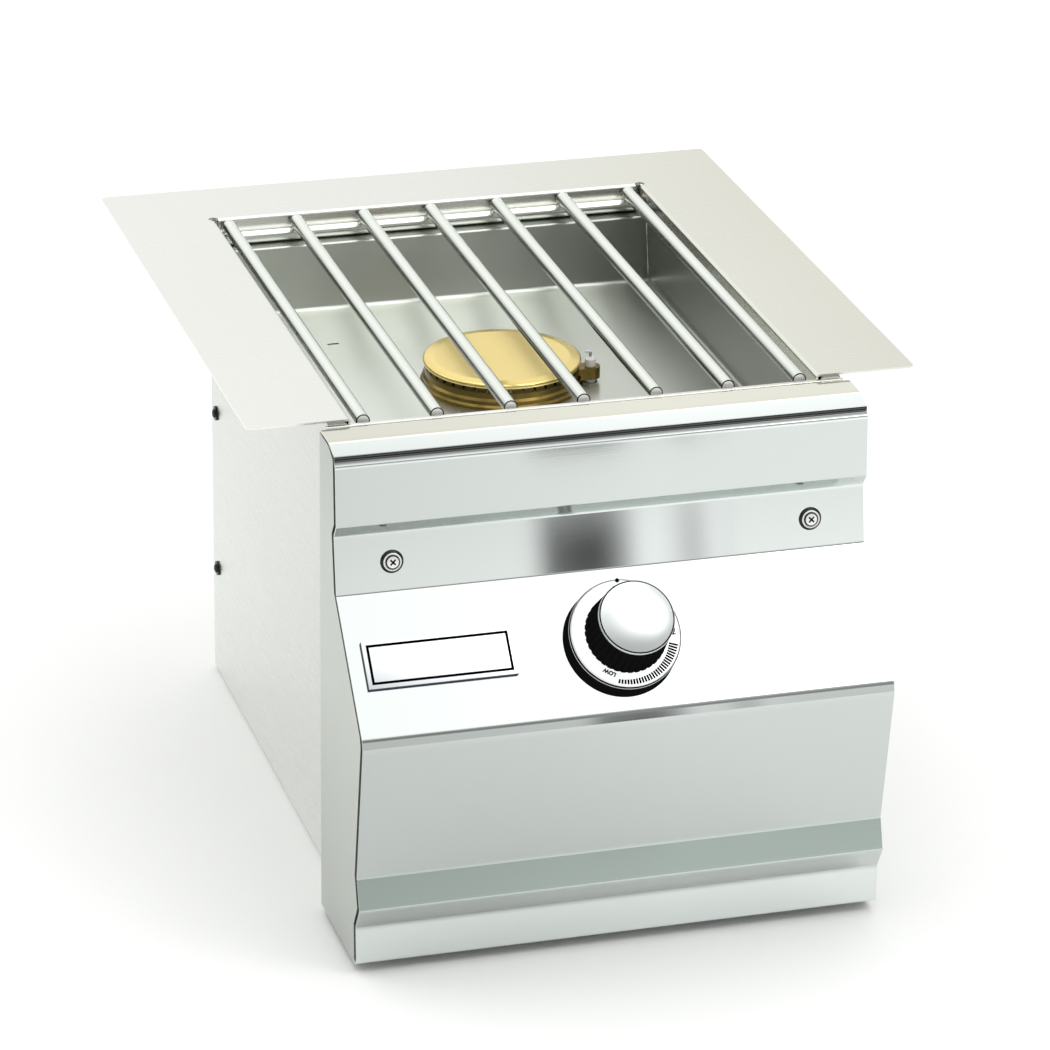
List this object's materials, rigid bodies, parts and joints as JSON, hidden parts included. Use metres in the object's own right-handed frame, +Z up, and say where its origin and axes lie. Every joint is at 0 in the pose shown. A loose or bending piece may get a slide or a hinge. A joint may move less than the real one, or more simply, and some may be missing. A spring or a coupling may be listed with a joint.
{
  "type": "built-in side burner",
  "caption": "Drop-in gas side burner for an outdoor kitchen: square deck over a steel cabinet, lift-off rod grid, brass burner in a pan, and a leaning control panel with one knob.",
  "frame": {"origin": "on the ground plane under the middle of the whole unit, cabinet feet at z = 0", "axes": "+X to the user's right, +Y from the front panel to the back, +Z up"},
  "size_m": [0.386, 0.5018, 0.298],
  "materials": {
    "stainless": "directional brushed stainless sheet",
    "rod_steel": "drawn stainless rod, smooth",
    "pan_steel": "bright stainless sheet with fine brushing",
    "plated_steel": "zinc and nickel plated hardware",
    "burner_brass": "satin machined brass",
    "fitting_brass": "machined brass fittings",
    "cast_tube": "die-cast aluminium, slightly grained",
    "pipe_metal": "drawn aluminium pipe",
    "knob_black": "satin black moulded phenolic",
    "dial_metal": "satin plated dial plate with black markings",
    "crown_chrome": "polished chrome",
    "ceramic": "glazed white ceramic",
    "wire_silicone": "silicone-sleeved ignition wire"
  },
  "bodies": {
    "root": {"deck_frame": "stainless", "side_panel_left": "stainless", "side_panel_right": "stainless", "back_panel": "stainless", "base_panel": "stainless", "front_wall": "stainless", "pan_rail_left": "stainless", "pan_rail_right": "stainless", "burner_pan": "pan_steel", "front_fascia": "stainless", "cheek_left": "stainless", "cheek_right": "stainless", "fascia_posts": "plated_steel", "fascia_screws": "plated_steel", "cup_washers": "plated_steel", "side_screws": "plated_steel", "burner_bowl": "burner_brass", "burner_head": "burner_brass", "burner_screws": "plated_steel", "tube_flange": "cast_tube", "mixer_tube": "cast_tube", "valve_body": "fitting_brass", "valve_bonnet": "plated_steel", "valve_screws": "plated_steel", "orifice_spud": "fitting_brass", "piezo_igniter": "knob_black", "electrode_ceramic": "ceramic", "electrode_tip": "plated_steel", "igniter_wire": "wire_silicone", "supply_pipe": "pipe_metal", "pipe_nuts": "fitting_brass", "inlet_fitting": "fitting_brass", "inlet_locknut": "fitting_brass"},
    "grid": {"grid_rods": "rod_steel", "grid_cross_rods": "rod_steel"},
    "cap": {"burner_cap": "burner_brass"},
    "shutter": {"air_shutter": "plated_steel"},
    "push": {"stem_collar": "fitting_brass"},
    "knob": {"valve_stem": "plated_steel", "knob_body": "knob_black", "dial_disc": "dial_metal", "knob_crown": "crown_chrome"}
  },
  "joints": [
    {"name": "grid_lift", "type": "slide", "parent": "root", "child": "grid", "axis": [0, 0, 1], "range_m": [0, 0.1]},
    {"name": "cap_lift", "type": "slide", "parent": "root", "child": "cap", "axis": [0, 0, 1], "range_m": [0, 0.02]},
    {"name": "shutter_turn", "type": "hinge", "parent": "root", "child": "shutter", "pos_m": [0, -0.16007, 0.16196], "axis": [0, 1, 0], "range_deg": [0, 45]},
    {"name": "knob_push", "type": "slide", "parent": "root", "child": "push", "axis": [0, 0.7336, -0.6796], "range_m": [0, 0.003], "stiffness_N_per_m": 2000, "springref_m": -0.002},
    {"name": "knob_turn", "type": "hinge", "parent": "push", "child": "knob", "pos_m": [0, -0.20884, 0.17827], "axis": [0, -0.7336, 0.6796], "range_deg": [0, 210]}
  ]
}
